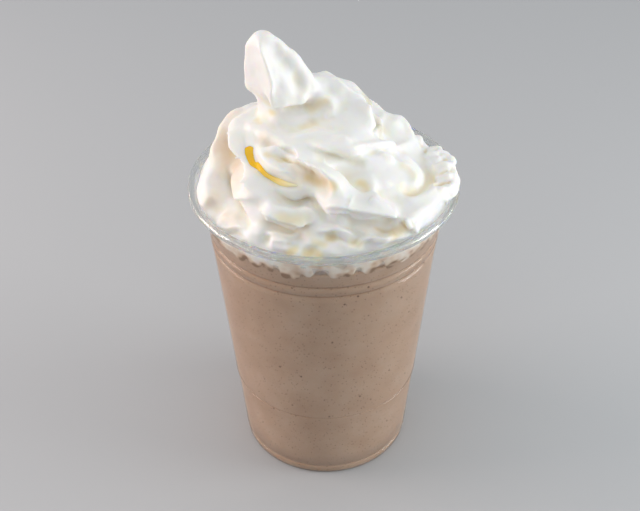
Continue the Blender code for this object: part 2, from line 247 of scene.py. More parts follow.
cup_profile += [(collar_radius(h) - WALL, h) for h in COLLAR_HEIGHTS[::-1]]
cup_profile += [(wall_radius(h) - WALL, h) for h in reversed(wall_heights)]
cup_profile += arc(FOOT_CENTRE, FOOT_FILLET - WALL, 0.0, -90.0, 6)
cup_profile += [(FOOT_RING_INNER + 1.2, WALL), (FOOT_RING_INNER + 0.7, WALL + 0.25)]
cup_profile += arc(RISER_CENTRE, 0.8 + WALL, 20.0, 90.0, 5)
cup_profile += [(FOOT_RING_INNER * 0.55, FLOOR_TOP), (0.0, FLOOR_TOP)]

# clear PET, moulded against a polished tool: near-perfect gloss, a faint grey-green in its thick rim, and
# long soft waves where the sheet was drawn
clear_pet, tree = new_material("clear_pet_thermoformed")
coords = add_node(tree, "TexCoord")
stretch = add_node(tree, "Mapping", {"Scale": (1.0, 1.0, 0.35)}, {"Vector": (coords, "Object")})
waves = add_node(tree, "TexNoise", {"Scale": 1000.0 / SHEET_WAVE_MM, "Detail": 1.0}, {"Vector": (stretch, 0)})
bump = add_node(tree, "Bump", {"Strength": SHEET_WAVE_BUMP, "Distance": 0.001}, {"Height": (waves, "Fac")})
split = add_node(tree, "SeparateXYZ", links={0: (coords, "Object")})
alpha = add_node(tree, "MapRange",
                 {"From Min": (CUP_HEIGHT - 2.4 * BEAD_RADIUS) * MM,
                  "From Max": (CUP_HEIGHT - 1.8 * BEAD_RADIUS) * MM,
                  "To Min": PET_WALL_ALPHA, "To Max": PET_RIM_ALPHA}, {"Value": (split, "Z")})
end_material(tree, {"Base Color": linear(PET_CLEAR), "Transmission Weight": 1.0, "IOR": PET_IOR,
                    "Roughness": PET_ROUGHNESS}, {"Normal": (bump, 0), "Alpha": (alpha, 0)})

cup_shell = turned("cup_shell", cup_profile, clear_pet)
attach(cup_shell, "root")
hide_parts("cup")

# The milkshake. Milk, ice cream and cocoa, blended thick, with air beaten in. It fills the cup, wets the
# wall, and its surface under the cream is uneven where the cream was pushed down into it.

DRINK_TOP = 110.9
DRINK_TOP_WAVE = 1.2
WALL_WETTING = 0.2
SHAKE_MID = "#c0a48e"
SHAKE_DARK = "#b99c85"
SHAKE_PALE = "#c8af9b"
SHAKE_SPECK = "#5a4334"
# cocoa specks about half a millimetre across and fine dust between them, with their distances apart, and
# paler clouds of ice cream about a centimetre long
SPECK_APART_MM = 6.08
DUST_APART_MM = 1.5
CLOUD_MM = 13.0
GRAIN_MM = 0.9

milkshake_mat, tree = new_material("cocoa_milkshake")
coords = add_node(tree, "TexCoord")
clouds = add_node(tree, "TexNoise", {"Scale": 1000.0 / CLOUD_MM, "Detail": 3.0, "Roughness": 0.55},
                  {"Vector": (coords, "Object")})
cloud_colour = add_node(tree, "ValToRGB", links={"Fac": (clouds, "Fac")})
set_ramp(cloud_colour, [(0.3, SHAKE_DARK), (0.52, SHAKE_MID), (0.78, SHAKE_PALE)])
specks = add_node(tree, "TexVoronoi", {"Scale": 1000.0 / SPECK_APART_MM}, {"Vector": (coords, "Object")})
speck_mask = add_node(tree, "MapRange", {"From Min": 0.045, "From Max": 0.085, "To Min": 0.85, "To Max": 0.0},
                      {"Value": (specks, "Distance")})
dust = add_node(tree, "TexVoronoi", {"Scale": 1000.0 / DUST_APART_MM}, {"Vector": (coords, "Object")})
dust_mask = add_node(tree, "MapRange", {"From Min": 0.1, "From Max": 0.22, "To Min": 0.5, "To Max": 0.0},
                     {"Value": (dust, "Distance")})
colour = (cloud_colour, 0)
for mask in (dust_mask, speck_mask):
    colour = tinted(tree, colour, (mask, 0), SHAKE_SPECK)
grain = add_node(tree, "TexNoise", {"Scale": 1000.0 / GRAIN_MM, "Detail": 2.0},
                 {"Vector": (coords, "Object")})
bump = add_node(tree, "Bump", {"Strength": 0.12, "Distance": 0.0004}, {"Height": (grain, "Fac")})
end_material(tree, {"Roughness": 0.38, "IOR": 1.36, "Subsurface Weight": 0.5, "Subsurface Scale": 0.003,
                    "Subsurface Radius": (1.0, 0.62, 0.4)}, {"Base Color": colour, "Normal": (bump, 0)})


def uneven_drink(rings):
    """Lifts and lowers the drink's top edge by smooth noise, and leaves the rest of it alone."""
    near_top = np.clip((rings[:, 2] - DRINK_TOP + 4.0) / 4.0, 0.0, 1.0)
    rings[:, 2] += near_top * DRINK_TOP_WAVE * smooth_noise(rings, 9.0, 11)
    return rings


drink_heights = wall_heights + [107.5, 109.5, DRINK_TOP]
drink_profile = [(0.0, FLOOR_TOP - WALL_WETTING), (FOOT_RING_INNER * 0.55, FLOOR_TOP - WALL_WETTING)]
drink_profile += arc(RISER_CENTRE, 0.8 + WALL - WALL_WETTING, 90.0, 20.0, 5)
drink_profile += [(FOOT_RING_INNER + 0.55, WALL + 0.1), (FOOT_RING_INNER + 1.1, WALL - WALL_WETTING)]
drink_profile += arc(FOOT_CENTRE, FOOT_FILLET - WALL + WALL_WETTING, -90.0, 0.0, 6)
drink_profile += [(inner_radius(h) + WALL_WETTING, h) for h in drink_heights]
drink_profile += [(r, DRINK_TOP) for r in (42.5, 40.0, 36.0, 30.0, 20.0, 10.0)]
drink_profile += [(0.0, DRINK_TOP)]
drink_body = turned("drink_body", drink_profile, milkshake_mat, uneven_drink)
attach(drink_body, "root")
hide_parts("milkshake")

# The whipped cream. Sweetened cream piped through a wide star nozzle on to the drink: a first ring pressed
# against the rim, broad folds that wind up over it, and a peak that leaned over as the nozzle was lifted.
# Its folds have run together, so it is one body, softened by a voxel remesh.

CREAM_BOTTOM = 104.0
CREAM_VOXEL = 0.62
CREAM_SMOOTHINGS = 2
TEETH_PITCH = 20.0
CREASE_ROUNDS = 90
LATE_CREASE_ROUNDS = 5
# how a mark is pressed: a narrow hollow gets only a share of its depth, a crest's top is blunted, a lip's
# line is set back before it leans over, and every mark fades out over the last steps at its ends
SMALL_HOLLOW_SHARE = 0.6
SMALL_HOLLOW_REACH = 2.7
CREST_BLUNT = 0.16
CREST_POWER = 1.6
LIP_SET_BACK = 0.55
MARK_STEPS = 48
MARK_END_STEPS = 9.0
MARK_SOFTENINGS = 16
HEAP_SOFTENINGS = 5
WRINKLE_COARSE = 0.3
WRINKLE_FINE = 0.12
BACK_RIDGES = 1.1
# the rings that make up the peak: x, y, z of each one's middle, then the reach of its left, front, right
# and back crests
PEAK_RINGS = [(-12, 2, 140, 9, 6, 9, 10), (-13, 1, 148, 9, 6, 10, 10), (-13.5, 0.5, 154, 9.5, 6.5, 10.5, 9),
              (-14, 0, 158.5, 12.4, 10.5, 12, 8.5), (-15, -0.5, 164, 11.4, 10.5, 12, 8),
              (-16.5, -1, 170, 9.7, 9, 9.6, 7), (-18.2, -1.8, 175, 7.4, 6.8, 6.8, 4.8),
              (-19.3, -2.2, 178, 4.8, 4.6, 4.8, 3.2), (-19.6, -2.4, 179.6, 2.6, 2.6, 2.8, 2),
              (-19.8, -2.5, 180, 1, 1, 1, 1)]
PEAK_CRESTS_DEG = (180.0, 258.0, 350.0, 95.0)
PEAK_SPREADS_DEG = (30.0, 20.0, 40.0, 40.0)
PEAK_INNER_SHARE = 0.58
SKIRT_COUNT = 46
SKIRT_RING = 42.6
SKIRT_HEIGHT = 110.6
SKIRT_SIZE = 3.4
CREAM_LIGHT = "#fdfcf9"
# painted shade: warm, darker tints for the cream's hollows and deep creases
CREAM_HOLLOW_SHADE = "#f7f0e0"
CREAM_DEEP_SHADE = "#ead9b4"
# painted warm shade, for shaded hollows and the undersides of lips
CREAM_TAN_SHADE = "#e3d0b9"
CREAM_SHADE = "#d5d4c6"
# where cream and drink are stirred together: below MIXED_TOP it darkens over MIXED_BAND, in patches, from
# nothing at the radius MIXED_INSIDE to its full share 3 mm further out; its last and darkest colour, browner
# than the drink, is painted shade in the gaps between cream and wall
MIXED_TOP = 117.5
MIXED_BAND = 8.0
MIXED_PATCHES = 0.45
MIXED_INSIDE = 39.0
MIXED_PALE = "#f1e6dc"
MIXED_TAUPE = "#d8bfa9"
MIXED_GAP_SHADE = "#9c7f68"
SYRUP_SOAKED = "#f3dc9c"
# how hollows take their painted shade: a base, then the rounds of smoothing and the weight of fine and broad
# ones
HOLLOW_SHADE_BASE = 0.15
FINE_ROUNDS = 6
FINE_SHADE_WEIGHT = 0.7
BROAD_ROUNDS = 60
BROAD_SHADE_WEIGHT = 0.22
# how far the cream may reach into the wall, the radius inside the rolled rim, and the radius above it
CREAM_IN_WALL = 0.3
RIM_INSIDE = 46.0
OVER_RIM = 50.2
# the first turn of cream against the rim
RING_RADIUS = 37.0
RING_HEIGHT = 116.0
RING_SIZE = (9.4, 8.6)


def dent(depth, reach, *points):
    """A mark that presses a hollow along a curve, equally far on both sides of it."""
    share = SMALL_HOLLOW_SHARE if reach < SMALL_HOLLOW_REACH else 1.0
    return "hollow", depth * share, reach, reach, 0.0, points


def crest(height, far, near, *points):
    """A mark that raises a sharp edge along a curve, with its reach on the far and on the near side."""
    return "crest", height, far, near, 0.0, points


def lip(height, far, near, lean, *points):
    """A mark that raises an edge which also leans over its near side."""
    return "lip", height, far, near, lean, points


# the crisp edges, pressed in last: first those of the folds, then the notches and crinkles of the petals
LATE_RELIEF = [
    crest(2.0, 3.2, 1.2, (0, -39, 135), (3, -41, 137), (8, -41, 136), (15, -42, 135), (22, -41, 133),
          (27, -40, 130)),
    dent(1.8, 2.6, (2, -42, 135), (8, -41, 133), (16, -42, 131), (23, -39, 129)),
    crest(1.6, 3, 1.1, (-22, -34, 131), (-17, -39, 132), (-13, -40, 130), (-7, -40, 129), (-3, -39, 130)),
    dent(1.4, 2.2, (-16, -39, 130), (-11, -40, 129), (-5, -40, 127)),
    crest(1.4, 1.6, 1.3, (-21, -18, 145), (-14, -21, 145), (-8, -27, 146), (-1, -33, 146), (3, -36, 143)),
    dent(1.1, 1.3, (-19, -22, 145), (-13, -23, 144), (-7, -28, 144), (-1, -31, 141)),
    crest(1.4, 2.5, 1.3, (7, -22, 146), (14, -16, 144), (21, -11, 142), (29, 2, 134)),
    dent(1.2, 2, (8, -23, 144), (15, -18, 142), (23, -11, 139)),
    crest(1.2, 1.4, 1.4, (-21, -6, 179), (-20, -8, 176), (-18, -10, 171), (-17, -11, 165), (-17, -11, 160)),
    crest(1.3, 1.6, 1.2, (-38, -24, 119), (-34, -29, 120), (-29, -31, 122), (-26, -35, 123)),
    dent(1.2, 1.4, (-35, -30, 117), (-30, -32, 120), (-27, -36, 121)),
    crest(1.3, 1.4, 1.2, (-20, -38, 124), (-16, -39, 125), (-12, -40, 124), (-8, -39, 125)),
    dent(1.2, 1.4, (-18, -41, 123), (-14, -43, 123), (-10, -41, 123)),
    crest(1.3, 1.6, 1.2, (-2, -41, 127), (2, -41, 128), (6, -41, 127), (10, -41, 125)),
    dent(1.2, 1.4, (4, -41, 125), (8, -43, 124), (12, -42, 124)),
    crest(1.2, 1.6, 1.2, (11, -43, 123), (15, -42, 125), (20, -43, 125), (23, -41, 125)),
    dent(1.0, 1.3, (16, -39, 127), (21, -40, 126), (24, -39, 127)),
    dent(2.0, 1.4, (38, -5, 129), (41, -4, 130), (44, 3, 127), (46, 4, 127)),
    dent(2.0, 1.4, (40, -10, 127), (42, -9, 129), (45, -8, 129), (46, -7, 128)),
    dent(2.0, 1.5, (38, -17, 129), (41, -13, 127), (44, -12, 127), (45, -11, 127)),
    dent(1.6, 1.4, (36, 5, 128), (38, 10, 127), (38, 9, 127)),
    crest(1.1, 2.6, 2.6, (36, 0, 128), (39, 3, 128), (42, 7, 127), (44, 6, 127)),
    crest(1.1, 2.6, 2.6, (38, -6, 128), (42, -6, 130), (45, -5, 129), (47, 2, 126)),
    crest(1.4, 2.2, 2.2, (39, -10, 126), (41, -10, 127), (43, -10, 128), (45, -10, 128)),
    crest(1.6, 2.6, 2.6, (39, -19, 128), (42, -16, 126), (44, -14, 126), (45, -14, 125)),
    dent(0.5, 1.0, (40, -1, 130), (42, 5, 127), (43, 8, 127)),
    dent(0.5, 1.0, (42, -5, 130), (45, 2, 127), (47, 3, 126)),
    dent(0.5, 1.0, (42, -8, 129), (44, -8, 129), (46, -6, 129)),
    dent(0.5, 1.0, (41, -19, 126), (43, -17, 125), (45, -16, 123)),
    dent(0.5, 1.0, (39, -24, 126), (42, -20, 123), (43, -15, 119)),
    crest(1.4, 1.8, 1.8, (27, -38, 130), (28, -39, 129), (29, -40, 127)),
    dent(1.2, 1.0, (25, -39, 129), (26, -39, 128), (27, -39, 126)),
    dent(1.2, 1.0, (28, -39, 130), (29, -40, 129), (30, -40, 127)),
]
# where syrup has soaked into the cream: strength, reach and middle line
STAINS = [
    (0.45, 2.6, [(-21, -25, 140), (-17, -27, 138), (-13, -30, 139), (-8, -31, 139)]),
    (0.5, 1.6, [(-19, -22, 145), (-17, -23, 144), (-14, -24, 144), (-11, -21, 141)]),
    (0.5, 2.2, [(-5, -30, 141), (-2, -31, 140), (1, -35, 142), (3, -37, 142)]),
    (0.6, 2.2, [(12, -26, 136), (14, -27, 135), (15, -29, 134)]),
    (0.4, 3.0, [(-14, -40, 132), (-10, -40, 131), (-6, -38, 130)]),
    (0.5, 1.8, [(-18, -5, 151), (-17, -5, 151)]),
    (0.4, 1.8, [(-23, -3, 147), (-22, -6, 148)]),
    (0.3, 2.2, [(-7, -9, 147), (-3, -8, 148)]),
    (0.3, 1.4, [(-33, -2, 132), (-32, -3, 133)]),
    (0.25, 3.0, [(26, -24, 132), (30, -22, 129), (36, -18, 127), (37, -9, 126)]),
    (0.2, 2.4, [(27, -16, 136), (30, -17, 134), (31, -19, 133)]),
    (0.5, 2.0, [(1, -41, 124), (3, -41, 124)]),
    (0.4, 2.2, [(9, -43, 124), (12, -43, 123)]),
    (0.4, 2.0, [(-3, -43, 124), (0, -43, 123)]),
    (0.45, 2.8, [(23, -41, 125), (24, -40, 126), (27, -39, 127)]),
    (0.6, 2.2, [(-12, -43, 120), (-10, -43, 121)]),
    (0.6, 2.6, [(-6, -44, 120), (-3, -43, 120), (-2, -45, 120)]),
    (0.35, 2.2, [(-21, -3, 157), (-20, -4, 155), (-17, -6, 155)]),
    (0.3, 2.4, [(-4, -4, 151), (-1, -4, 154), (1, -4, 155)]),
]
# painted warm shade: a brownish beige tint in the shaded hollows at the left, on a shaded fold face and
# under the front lips: strength, reach and points
PAINTED_TAN_SHADE = [
    (0.75, 8.0, [(-31, 8, 138), (-34, 1, 134), (-33, -6, 134), (-30, -12, 133), (-27, -20, 131)]),
    (0.5, 4.0, [(-9, -27, 142), (-4, -31, 142), (1, -36, 141)]),
    (0.45, 3.5, [(-21, -14, 146), (-18, -16, 145), (-14, -18, 144)]),
    (0.4, 5.0, [(-39, -19, 124), (-36, -24, 124), (-31, -29, 124)]),
    (0.3, 4.0, [(-19, -36, 128), (-13, -40, 127), (-6, -41, 127)]),
    (0.18, 4.0, [(12, -40, 128), (18, -40, 128), (24, -39, 128)]),
]
# deep pockets that light hardly reaches: strength, reach and middle line
SHADED = [
    (0.95, 6.5, [(16.5, 6, 149), (18, 4, 145), (18, 0, 142)]),
    (0.22, 3.0, [(-15, -8, 156), (-8, -5, 154), (-1, -4, 154), (2, -3, 152)]),
    (0.1, 3.0, [(3, -40, 132), (12, -41, 131), (22, -40, 129)]),
    (0.35, 2.6, [(-4, -22, 144), (5, -22, 144), (13, -21, 141)]),
    (0.4, 4.0, [(-10, -3, 163), (-8, -4, 160)]),
]
# stretches that have slumped smooth under their own weight: strength, reach and middle line
SMOOTHED = [
    (1.0, 5.5, [(-30, -14, 141), (-29, -19, 139), (-27, -24, 137), (-25, -28, 136), (-22, -31, 135)]),
    (1.0, 4.0, [(-25, -15, 144), (-24, -20, 141), (-19, -26, 139.5), (-12, -30, 138.5)]),
    (1.0, 3.2, [(6, -36, 137), (8, -37, 136), (9, -38, 135)]),
]
SMOOTHED_ROUNDS = 24
# the outer turn's petals at the right: root, middle and tip of each
FRILLS = [
    [(33, 13, 125), (34.5, 14, 127), (36, 15, 128.6)],
    [(36, 8, 124), (38, 9, 125.5), (39.5, 9.5, 127)],
    [(37, 6, 123), (40, 8.5, 125), (42.8, 10.5, 126.6)],
    [(39, 4, 123), (42.5, 5.5, 125.3), (45.6, 6.6, 125.6)],
    [(41, 1, 123), (45, 3, 125), (48, 4, 124.6)],
    [(39, -3, 125), (43, -2.5, 126), (46, -2, 124.2)],
    [(40, -9, 123.5), (43.5, -9.5, 124.5), (45.6, -10, 123)],
    [(38, -16, 122.5), (41, -17, 123.5), (43.4, -18, 122.6)],
]
# the relief of the visible side, from the peak down to the rim
RELIEF = [
    lip(2.6, 5, 2, 0.9, (-19, -7, 158), (-16, -10, 158), (-11, -7, 157), (-7, -5, 156), (-4, -4, 156)),
    dent(1.6, 3.5, (-18, -5, 177), (-15, -6, 173), (-11, -6, 168), (-9, -5, 163), (-8, -5, 159)),
    dent(1.2, 2.5, (-10, -5, 166), (-8, -5, 162), (-8, -5, 159)),
    dent(2.6, 3, (-20, -5, 158), (-16, -8, 156), (-10, -5, 153), (-3, -4, 153), (0, -3, 154)),
    crest(2.0, 3, 3, (-3, -4, 154), (-2, -3, 155), (1, -2, 155), (3, -3, 153), (3, -5, 150), (1, -7, 149)),
    crest(1.6, 4, 5, (-2, 4, 160), (1, 9, 158), (5, 4, 158), (9, 1, 156), (13, 0, 152)),
    lip(3.6, 6, 2.2, 0.6, (16, -9, 144), (14, -4, 147), (13, -2, 150), (13, 0, 152)),
    dent(1.2, 3, (4, 3, 158), (3, 0, 157), (2, -2, 155)),
    crest(2.4, 3.5, 1.8, (10, 0, 155), (13, 1, 152), (14, -6, 149), (16, -9, 146)),
    dent(5.0, 5.0, (17, 6, 147), (18, 4, 144), (18, 0, 142)),
    dent(4.5, 4.2, (15.5, 4, 151), (16.5, 2, 148), (17.5, 0, 145), (18, -3, 142)),
    crest(1.6, 1.6, 3, (18, -1, 140), (20, 1, 143), (22, 18, 137)),
    lip(2.4, 4, 2, 0.4, (20, 4, 146), (20, 2, 144), (19, -1, 143), (17, -8, 143)),
    dent(1.6, 2.2, (28, 16, 135), (29, 13, 135), (30, 9, 133)),
    lip(3.6, 8, 2.5, 0.8, (-4, -20, 146), (1, -20, 146), (5, -20, 145), (9, -21, 143), (14, -20, 142)),
    dent(1.8, 3.5, (-1, -22, 145), (5, -22, 144), (10, -22, 142), (14, -21, 141)),
    lip(1.8, 3.5, 1.5, 0.4, (18, -16, 141), (21, -16, 140), (24, -15, 137)),
    dent(1.8, 3, (22, -15, 139), (25, -10, 138), (29, 1, 132)),
    crest(1.6, 3, 3, (21, -13, 140), (25, -8, 138), (30, 4, 132), (33, 8, 132)),
    lip(3.4, 7, 2.5, 0.7, (-18, -22, 146), (-14, -18, 143), (-8, -20, 144), (-5, -28, 145), (0, -32, 144),
        (4, -35, 141), (8, -34, 140)),
    dent(2.6, 3, (-6, -29, 142), (-3, -32, 141), (3, -35, 141)),
    dent(2.8, 2.6, (12, -26, 136), (14, -28, 135), (14, -31, 135)),
    crest(1.8, 2.5, 5, (15, -23, 138), (16, -26, 136), (16, -32, 134), (14, -38, 135)),
    dent(1.8, 3, (21, -25, 136), (20, -27, 134), (17, -32, 134)),
    crest(1.6, 2, 5, (23, -24, 135), (21, -26, 134), (19, -31, 133), (17, -37, 134)),
    dent(2.4, 3, (26, -24, 133), (28, -25, 131), (32, -23, 130), (35, -18, 129), (37, -8, 126)),
    crest(1.8, 2.5, 4, (25, -26, 132), (28, -28, 130), (32, -25, 129), (37, -18, 128), (40, -10, 127)),
    crest(1.6, 3, 3, (25, -15, 137), (29, -15, 134), (31, -18, 132), (30, -22, 132)),
    dent(1.6, 1.6, (41, -4, 130), (43, -3, 130)),
    dent(1.6, 1.6, (42, -12, 127), (44, -11, 127)),
    lip(5.0, 8, 2.5, 1.0, (-2, -35, 132), (3, -37, 134), (7, -38, 134), (10, -39, 133), (13, -40, 132),
        (18, -40, 131), (23, -38, 130), (26, -37, 129)),
    lip(3.0, 6, 2, 0.8, (26, -37, 129), (28, -38, 128), (29, -38, 126), (30, -37, 123)),
    dent(4.0, 5, (5, -39, 132), (9, -41, 131), (13, -41, 130), (19, -41, 129), (24, -40, 128)),
    lip(4.0, 7, 2.5, 0.8, (-20, -35, 131), (-18, -37, 130), (-14, -38, 129), (-10, -39, 128),
        (-6, -39, 128)),
    dent(3.0, 4, (-19, -36, 129), (-15, -38, 127), (-10, -40, 126), (-7, -40, 127)),
    dent(1.8, 2.2, (-13, -38, 130), (-10, -39, 130), (-6, -39, 131)),
    lip(4.6, 8, 3, 0.6, (-30, 5, 143), (-30, -7, 144), (-30, -14, 143), (-30, -19, 141), (-28, -23, 140),
        (-26, -27, 139), (-24, -30, 137), (-21, -33, 136)),
    dent(5.0, 6.5, (-33, 3, 141), (-34, -1, 139), (-34, -4, 136), (-32, -13, 137), (-29, -23, 139),
         (-26, -28, 137)),
    crest(1.5, 3, 3, (-29, 11, 143), (-34, 6, 141), (-37, 1, 138), (-39, -3, 134)),
    dent(2.4, 2, (-37, -11, 128), (-36, -11, 128)),
    crest(1.2, 4, 4, (-39, -7, 132), (-37, -8, 130), (-32, -18, 134), (-29, -24, 134)),
    lip(2.0, 5, 1.2, 0.5, (-35, -16, 124), (-28, -27, 131), (-24, -32, 134), (-19, -34, 136)),
    dent(1.8, 2.5, (-24, -32, 133), (-22, -34, 133), (-20, -35, 132)),
    dent(2.0, 3.5, (-41, -19, 124), (-38, -21, 123), (-34, -24, 122)),
    crest(1.4, 3, 3, (-41, -20, 120), (-37, -23, 120), (-32, -26, 122), (-28, -29, 124)),
    crest(1.6, 4, 4, (-28, -12, 143), (-26, -20, 141), (-24, -26, 140), (-19, -29, 138), (-14, -30, 138),
          (-8, -33, 139)),
    dent(1.4, 6, (-18, -32, 137), (-14, -33, 135), (-8, -31, 132), (0, -35, 137)),
    crest(2.0, 4, 4, (-19, -35, 134), (-13, -37, 134), (-7, -37, 132), (-1, -37, 130)),
    dent(2.6, 3, (-26, -13, 143), (-24, -18, 142), (-21, -23, 140), (-18, -26, 139), (-13, -31, 140),
         (-9, -32, 140)),
    crest(1.6, 2, 2, (-22, -17, 144), (-19, -24, 144), (-15, -28, 143), (-11, -30, 142), (-8, -32, 141)),
    dent(1.6, 1.6, (-19, -21, 145), (-16, -24, 145), (-13, -25, 144), (-11, -21, 139)),
    crest(1.2, 1.6, 1.6, (-16, -23, 145), (-12, -19, 141), (-8, -26, 141), (-6, -30, 142)),
    dent(2.0, 3.5, (-20, -15, 146), (-18, -17, 146), (-16, -19, 145)),
    lip(2.0, 4, 2, 0.4, (-28, -5, 145), (-24, -7, 145), (-19, -13, 146), (-16, -15, 145), (-12, -17, 144)),
    crest(1.3, 3, 3, (-21, -5, 147), (-14, -6, 149), (-9, -6, 149), (-3, -5, 149), (2, -8, 148)),
    dent(1.4, 2.2, (-13, -13, 147), (-9, -10, 147), (-5, -9, 148), (-2, -9, 148)),
    crest(1.4, 3, 3, (-11, -15, 146), (-7, -15, 147), (-1, -13, 147), (6, -17, 148), (11, -17, 145)),
    crest(2.4, 3, 2, (-4, -41, 126), (-1, -40, 127), (3, -39, 127), (6, -40, 126), (7, -42, 124)),
    dent(2.6, 2.6, (0, -41, 125), (2, -41, 125), (5, -41, 125)),
    dent(1.8, 2.2, (9, -42, 123), (11, -42, 123)),
    dent(1.6, 2, (-2, -43, 124), (0, -44, 123)),
    dent(2.4, 2.4, (21, -42, 127), (24, -41, 127), (27, -39, 127)),
    dent(2.4, 2.2, (-12, -44, 121), (-10, -44, 121)),
    dent(2.8, 2.6, (-7, -45, 120), (-4, -44, 121), (-2, -45, 121)),
    crest(1.8, 4.5, 4.5, (-26, -35, 122), (-22, -36, 123), (-20, -38, 123)),
    dent(1.8, 2, (-22, -39, 120), (-19, -39, 122), (-18, -38, 125)),
    crest(1.8, 4.5, 4.5, (-18, -40, 121), (-15, -41, 123), (-12, -42, 123)),
    dent(1.8, 2, (-10, -44, 122), (-8, -42, 124), (-6, -41, 125)),
    crest(1.6, 4, 4, (5, -43, 122), (9, -43, 122), (13, -43, 122)),
    crest(1.6, 4, 4, (16, -43, 126), (18, -41, 123), (21, -43, 125)),
    dent(1.8, 1.6, (-30, -32, 120), (-29, -33, 122)),
    dent(1.6, 1.6, (-39, -22, 120), (-37, -24, 120)),
]


def smooth_path(points, count):
    """Reads a Catmull-Rom curve through the points at even steps of its own length."""
    p = np.asarray(points, dtype=float)
    extended = np.vstack([2.0 * p[0] - p[1], p, 2.0 * p[-1] - p[-2]])
    spans = len(p) - 1
    t = np.linspace(0.0, spans, spans * 40 + 1)
    i = np.minimum(t.astype(int), spans - 1)
    u = (t - i)[:, None]
    a, b, c, d = (extended[i + k] for k in range(4))
    curve = 0.5 * (2.0 * b + (c - a) * u + (2.0 * a - 5.0 * b + 4.0 * c - d) * u ** 2
                   + (3.0 * b - a - 3.0 * c + d) * u ** 3)
    steps = np.linalg.norm(np.diff(curve[:, :3], axis=0), axis=1)
    run = np.concatenate([[0.0], np.cumsum(steps)])
    even = np.linspace(0.0, run[-1], count)
    return np.stack([np.interp(even, run, curve[:, k]) for k in range(curve.shape[1])], axis=1)


def fold(points, teeth=0, depth=0.0, twist=0.0, phase=0.0, crests="soft", up=(0.0, 0.0, 1.0),
         ends=(1.0, 1.0), along=110, around=72):
    """Carries a toothed oval along a smooth path, as a star nozzle lays down cream.

    Each point is x, y, z, half width and half height. The oval's radius is pulled in by depth between
    teeth, with round teeth for soft crests and sharp ones for keen crests, and the teeth turn by twist
    radians for each TEETH_PITCH of path. Each end is closed by a round cap.
    """
    path = smooth_path(points, along)
    centre = path[:, :3]
    tangent = unit(np.gradient(centre, axis=0))
    side = unit(np.cross(tangent, np.asarray(up)))
    normal = np.cross(side, tangent)
    length = np.linalg.norm(np.diff(centre, axis=0), axis=1).sum()
    run = np.linspace(0.0, length, along)[:, None]
    angle = np.linspace(0.0, 2.0 * math.pi, around, endpoint=False)[None, :]
    wave = np.abs(np.sin(0.5 * teeth * (angle + phase + twist * run / TEETH_PITCH)))
    oval = 1.0 - depth * (1.0 - wave) if crests == "soft" else 1.0 - depth * wave
    from_start = np.clip(run / (ends[0] * path[0, 3]), 0.0, 1.0)
    from_end = np.clip((length - run) / (ends[1] * path[-1, 3]), 0.0, 1.0)
    cap = np.sqrt(1.0 - (1.0 - from_start) ** 2) * np.sqrt(1.0 - (1.0 - from_end) ** 2)
    oval = oval * np.maximum(cap, 0.02)
    across = (np.cos(angle) * oval * path[:, 3:4])[..., None] * side[:, None, :]
    upward = (np.sin(angle) * oval * path[:, 4:5])[..., None] * normal[:, None, :]
    rings = (centre[:, None, :] + across + upward).reshape(-1, 3)
    vertices = np.vstack([rings, centre[0], centre[-1]])
    faces = grid_faces(along, around).tolist()
    faces += end_fans(along, around, len(rings), len(rings) + 1).tolist()
    return vertices, faces


def rim_ring():
    """The first turn of cream, round the inside of the rim."""
    points = []
    for step in range(14):
        a = math.radians(-160.0 + 30.0 * step)
        height = RING_HEIGHT + math.sin(3.0 * a) - 0.8 * math.sin(a)
        points.append((RING_RADIUS * math.cos(a), RING_RADIUS * math.sin(a), height, *RING_SIZE))
    return fold(points, teeth=6, depth=0.26, twist=1.8, along=260, around=96)


def peak():
    """The last of the cream, drawn up and to the left as the nozzle was lifted, with four uneven crests.

    On each ring the radius is a common inner one plus, for each crest, what it reaches past that, times e to
    the minus of the angle to the crest over its spread, so every crest is sharp and the faces are hollow.
    """
    rings = smooth_path(PEAK_RINGS, 80)
    angle = np.linspace(0.0, 2.0 * math.pi, 120, endpoint=False)
    reach = rings[:, 3:]
    inner = PEAK_INNER_SHARE * reach.mean(axis=1, keepdims=True)
    radius = np.repeat(inner, len(angle), axis=1)
    for k, (bearing, spread) in enumerate(zip(np.radians(PEAK_CRESTS_DEG), np.radians(PEAK_SPREADS_DEG))):
        apart = np.abs((angle - bearing + math.pi) % (2.0 * math.pi) - math.pi)
        radius += (reach[:, k:k + 1] - inner) * np.exp(-apart / spread)
    x = rings[:, :1] + radius * np.cos(angle)
    y = rings[:, 1:2] + radius * np.sin(angle)
    z = np.broadcast_to(rings[:, 2:3], x.shape)
    grid = np.stack([x, y, z], axis=-1).reshape(-1, 3)
    vertices = np.vstack([grid, rings[0, :3], rings[-1, :3] + (0.0, 0.0, 0.4)])
    faces = grid_faces(len(rings), len(angle)).tolist()
    faces += end_fans(len(rings), len(angle), len(grid), len(grid) + 1).tolist()
    return vertices, faces


def skirt():
    """Cream pushed down between wall and drink: drops of many sizes, longest at the front left."""
    draw = np.random.default_rng(9)
    made = []
    for a in np.linspace(0.0, 2.0 * math.pi, SKIRT_COUNT, endpoint=False):
        a += draw.uniform(-0.06, 0.06)
        longest = 0.5 + 0.5 * math.cos(a - math.radians(250.0))
        drop = draw.uniform(0.0, 1.0) ** 2 * (1.0 + 4.0 * longest)
        r = SKIRT_SIZE * draw.uniform(0.5, 1.0)
        x, y = SKIRT_RING * math.cos(a), SKIRT_RING * math.sin(a)
        made.append(fold([(x, y, SKIRT_HEIGHT + 5.0, 1.3 * r, r), (x, y, SKIRT_HEIGHT, r, r),
                          (0.985 * x, 0.985 * y, SKIRT_HEIGHT - drop, 0.7 * r, 0.7 * r)],
                         up=(math.cos(a), math.sin(a), 0.0), along=20, around=20))
    return made


def frills():
    """The crinkled ends of the outer turn, which stand over the rim at the right like small petals."""
    made = []
    for points in FRILLS:
        made.append(fold([(*p, w, 0.62 * w) for p, w in zip(points, (3.8, 3.5, 2.6))], teeth=7, depth=0.3,
                         crests="keen", along=40, around=48))
    return made


